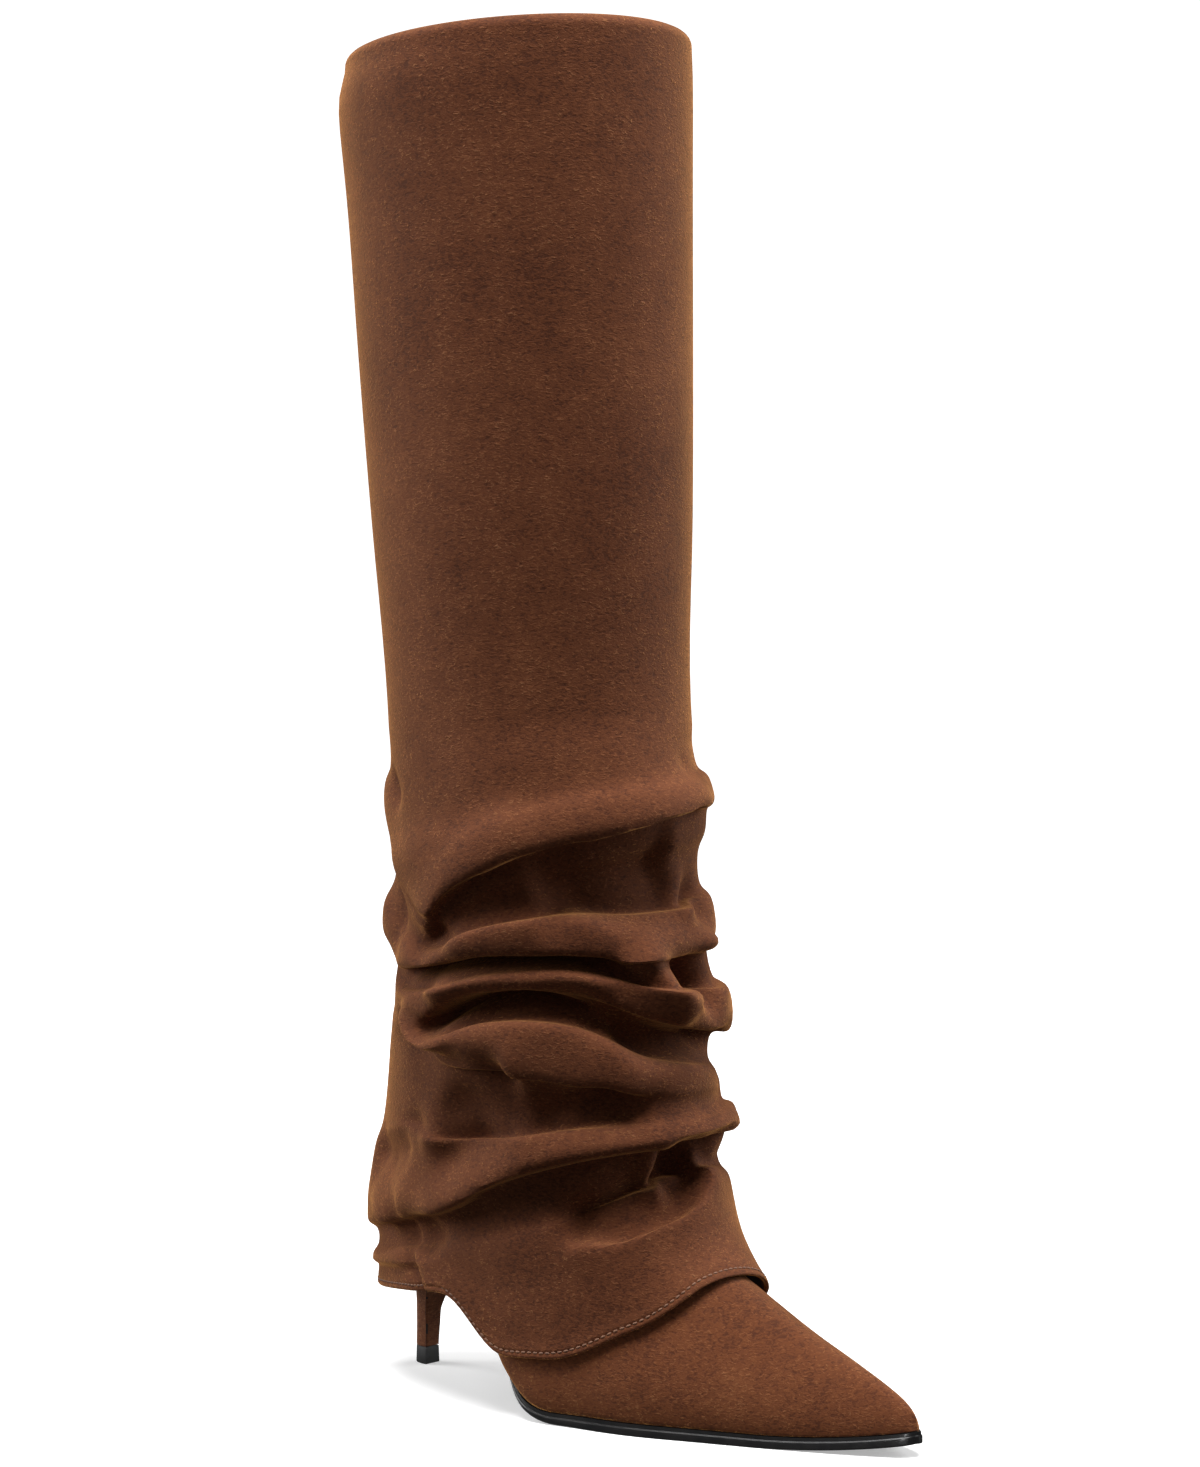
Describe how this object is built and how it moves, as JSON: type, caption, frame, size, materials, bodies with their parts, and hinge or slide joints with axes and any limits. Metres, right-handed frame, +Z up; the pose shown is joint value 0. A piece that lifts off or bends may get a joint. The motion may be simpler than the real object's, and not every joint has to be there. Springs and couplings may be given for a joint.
{
  "type": "dress boot",
  "caption": "Right fold-over knee boot in suede: slouched outer shaft over a fitted leg, pointed toe, thin black sole and slim stiletto heel.",
  "frame": {"origin": "on the floor under the ball of the foot, at the middle of the forefoot's flat tread", "axes": "+Z up along the leg, -Y towards the toe, -X towards the outer side of the right foot"},
  "size_m": [0.1172, 0.2396, 0.4756],
  "materials": {
    "shaft_suede": "brown suede with a short nap, matt",
    "upper_suede": "brown suede with a short nap, matt",
    "sole_leather": "black, smooth, with a satin edge",
    "heel_cover": "brown suede wrapped over a moulded block",
    "lift_rubber": "black, hard, satin",
    "sock_leather": "tan smooth leather"
  },
  "bodies": {
    "root": {"shaft": "shaft_suede", "upper": "upper_suede", "outsole": "sole_leather", "heel": "heel_cover", "top_lift": "lift_rubber", "insole": "sock_leather"}
  },
  "joints": []
}
